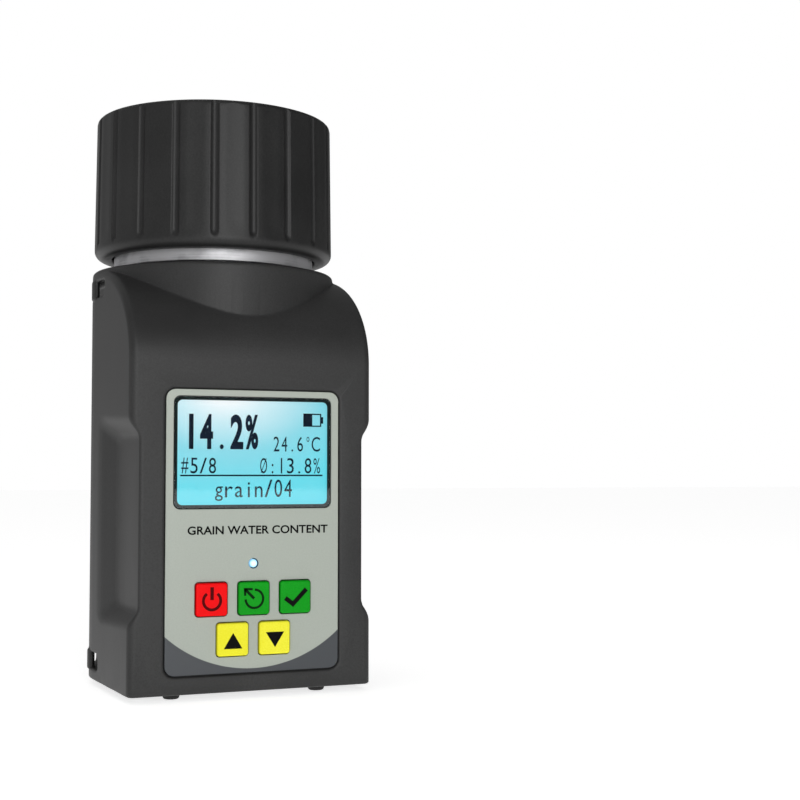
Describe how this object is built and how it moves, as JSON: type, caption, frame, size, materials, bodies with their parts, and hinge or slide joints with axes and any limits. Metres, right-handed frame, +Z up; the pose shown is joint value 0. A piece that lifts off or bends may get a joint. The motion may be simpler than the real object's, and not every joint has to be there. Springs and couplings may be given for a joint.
{
  "type": "grain moisture meter",
  "caption": "Handheld grain moisture meter: dark housing with front display and colour keys, a sprung screw cap over a metal measuring cup, and a battery door at the back.",
  "frame": {"origin": "centre of the footprint, on the plane that the four feet stand on", "axes": "+Z up along the measuring cup's axis, +X to the right seen from the front, the display facing -Y"},
  "size_m": [0.0886, 0.094, 0.2028],
  "materials": {
    "housing_plastic": "fine moulded texture, charcoal",
    "cap_plastic": "fine moulded texture, near black",
    "label_film": "satin printed film, grey-green with slate corners",
    "window_pane": "clear, with a dark printed border",
    "display_face": "lit cyan with dark characters",
    "white_plastic": "natural white moulding",
    "lamp_lens": "pale blue lens",
    "red_key": "satin moulding, red",
    "green_key": "satin moulding, green",
    "yellow_key": "satin moulding, yellow",
    "circuit_board": "solder mask, green",
    "inner_plastic": "moulded, black",
    "cell_sleeve": "printed sleeve, blue",
    "foot_rubber": "matte",
    "turned_aluminium": "brushed round",
    "screw_steel": "machined",
    "plated_steel": "nickel plated",
    "brass": "machined",
    "red_lead": "insulation, red",
    "black_lead": "insulation, black"
  },
  "bodies": {
    "housing": {"main_housing": "housing_plastic", "base_cover": "housing_plastic", "foot_front_left": "foot_rubber", "base_screw_front_left": "screw_steel", "foot_front_right": "foot_rubber", "base_screw_front_right": "screw_steel", "foot_rear_left": "foot_rubber", "base_screw_rear_left": "screw_steel", "foot_rear_right": "foot_rubber", "base_screw_rear_right": "screw_steel", "front_overlay": "label_film", "display_window": "window_pane", "display_frame": "plated_steel", "display_glass": "display_face", "display_backlight": "white_plastic", "status_lamp": "lamp_lens", "switch_power": "inner_plastic", "switch_return": "inner_plastic", "switch_accept": "inner_plastic", "switch_up": "inner_plastic", "switch_down": "inner_plastic", "main_board": "circuit_board", "board_screw_lower_left": "screw_steel", "board_screw_lower_right": "screw_steel", "board_screw_upper_left": "screw_steel", "board_screw_upper_right": "screw_steel", "battery_tray": "inner_plastic", "battery_cell_left": "cell_sleeve", "contact_spring_left": "plated_steel", "contact_plate_left": "plated_steel", "battery_cell_right": "cell_sleeve", "contact_spring_right": "plated_steel", "contact_plate_right": "plated_steel", "cell_cup": "turned_aluminium", "cell_insulator": "white_plastic", "centre_electrode": "turned_aluminium", "electrode_nut": "brass", "temperature_sensor": "plated_steel", "cup_ring_nut": "turned_aluminium", "neck_gasket": "foot_rubber", "electrode_lead": "red_lead", "battery_lead_positive": "red_lead", "battery_lead_negative": "black_lead"},
    "battery_door": {"battery_door": "housing_plastic"},
    "cap_carrier": {"spring_seat": "white_plastic", "pressure_spring": "plated_steel"},
    "cap": {"cap_shell": "cap_plastic"},
    "plunger": {"pressure_plate": "inner_plastic", "plunger_stem": "brass", "stem_clip": "plated_steel"},
    "key_power": {"key_power": "red_key"},
    "key_return": {"key_return": "green_key"},
    "key_accept": {"key_accept": "green_key"},
    "key_up": {"key_up": "yellow_key"},
    "key_down": {"key_down": "yellow_key"}
  },
  "joints": [
    {"name": "cap_rise", "type": "slide", "parent": "housing", "child": "cap_carrier", "axis": [0, 0, 1], "range_m": [0, 0.01]},
    {"name": "cap_turn", "type": "hinge", "parent": "cap_carrier", "child": "cap", "pos_m": [0, 0.00325, 0.1778], "axis": [0, 0, 1], "range_deg": [0, 720]},
    {"name": "plate_travel", "type": "slide", "parent": "cap_carrier", "child": "plunger", "axis": [0, 0, 1], "range_m": [0, 0.006], "stiffness_N_per_m": 600, "springref_m": -0.015, "deforming": ["pressure_spring"]},
    {"name": "battery_door_swing", "type": "hinge", "parent": "housing", "child": "battery_door", "pos_m": [-0.01655, 0.04369, 0.04865], "axis": [0, 0, 1], "range_deg": [0, 75]},
    {"name": "press_power", "type": "slide", "parent": "housing", "child": "key_power", "axis": [0, 1, 0], "range_m": [0, 0.0006], "stiffness_N_per_m": 200, "springref_m": -0.001},
    {"name": "press_return", "type": "slide", "parent": "housing", "child": "key_return", "axis": [0, 1, 0], "range_m": [0, 0.0006], "stiffness_N_per_m": 200, "springref_m": -0.001},
    {"name": "press_accept", "type": "slide", "parent": "housing", "child": "key_accept", "axis": [0, 1, 0], "range_m": [0, 0.0006], "stiffness_N_per_m": 200, "springref_m": -0.001},
    {"name": "press_up", "type": "slide", "parent": "housing", "child": "key_up", "axis": [0, 1, 0], "range_m": [0, 0.0006], "stiffness_N_per_m": 200, "springref_m": -0.001},
    {"name": "press_down", "type": "slide", "parent": "housing", "child": "key_down", "axis": [0, 1, 0], "range_m": [0, 0.0006], "stiffness_N_per_m": 200, "springref_m": -0.001}
  ],
  "couplings": [
    {"joint": "cap_rise", "follows": "cap_turn", "m_per_rad": 0.00079577}
  ]
}
